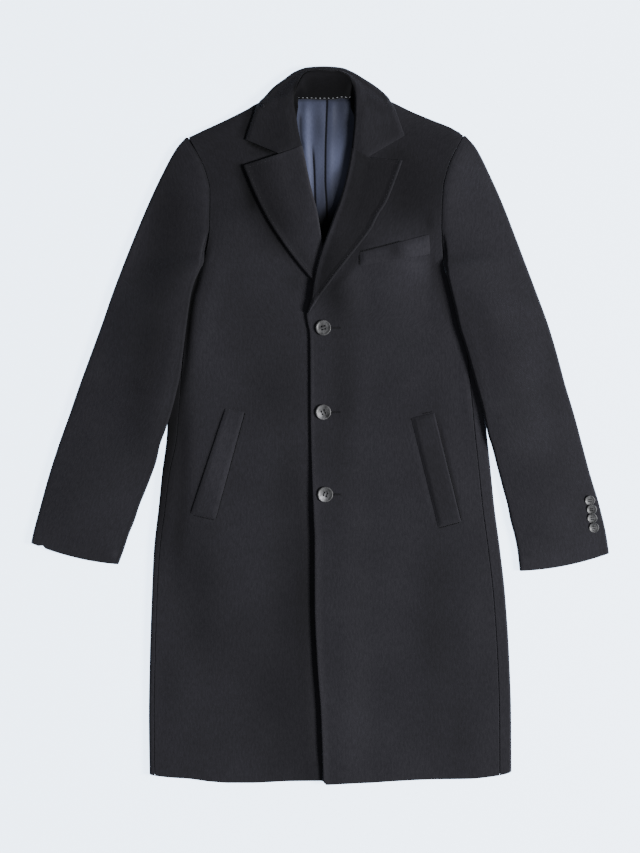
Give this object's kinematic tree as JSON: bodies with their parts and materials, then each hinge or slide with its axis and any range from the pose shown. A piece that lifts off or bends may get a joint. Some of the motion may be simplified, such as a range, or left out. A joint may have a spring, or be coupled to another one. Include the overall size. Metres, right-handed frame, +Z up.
{
  "type": "wool overcoat",
  "caption": "Single-breasted knee-length wool overcoat with notch lapels, chest and hip welt pockets, satin back lining and horn buttons, lying flat on its back.",
  "frame": {"origin": "centre of the bounding box in plan, on the surface the coat lies on", "axes": "+Y runs from the hem to the collar, +X to the wearer's left sleeve, +Z up off the surface, towards the front panels"},
  "size_m": [0.866, 1.0753, 0.0179],
  "materials": {
    "charcoal_wool": "soft matt brushed wool with a short nap",
    "navy_satin": "slate-blue satin lining, soft sheen",
    "grey_horn": "mottled grey horn, polished"
  },
  "bodies": {
    "root": {"back": "charcoal_wool", "front_left": "charcoal_wool", "front_right": "charcoal_wool", "lapel_left": "charcoal_wool", "lapel_right": "charcoal_wool", "collar": "charcoal_wool", "collar_stand": "charcoal_wool", "sleeve_left_top": "charcoal_wool", "sleeve_left_under": "charcoal_wool", "sleeve_right_top": "charcoal_wool", "sleeve_right_under": "charcoal_wool", "chest_welt": "charcoal_wool", "hip_welt_left": "charcoal_wool", "hip_welt_right": "charcoal_wool", "back_lining": "navy_satin", "button_front_1": "grey_horn", "button_front_2": "grey_horn", "button_front_3": "grey_horn", "button_cuff_1": "grey_horn", "button_cuff_2": "grey_horn", "button_cuff_3": "grey_horn", "button_cuff_4": "grey_horn"}
  },
  "joints": []
}
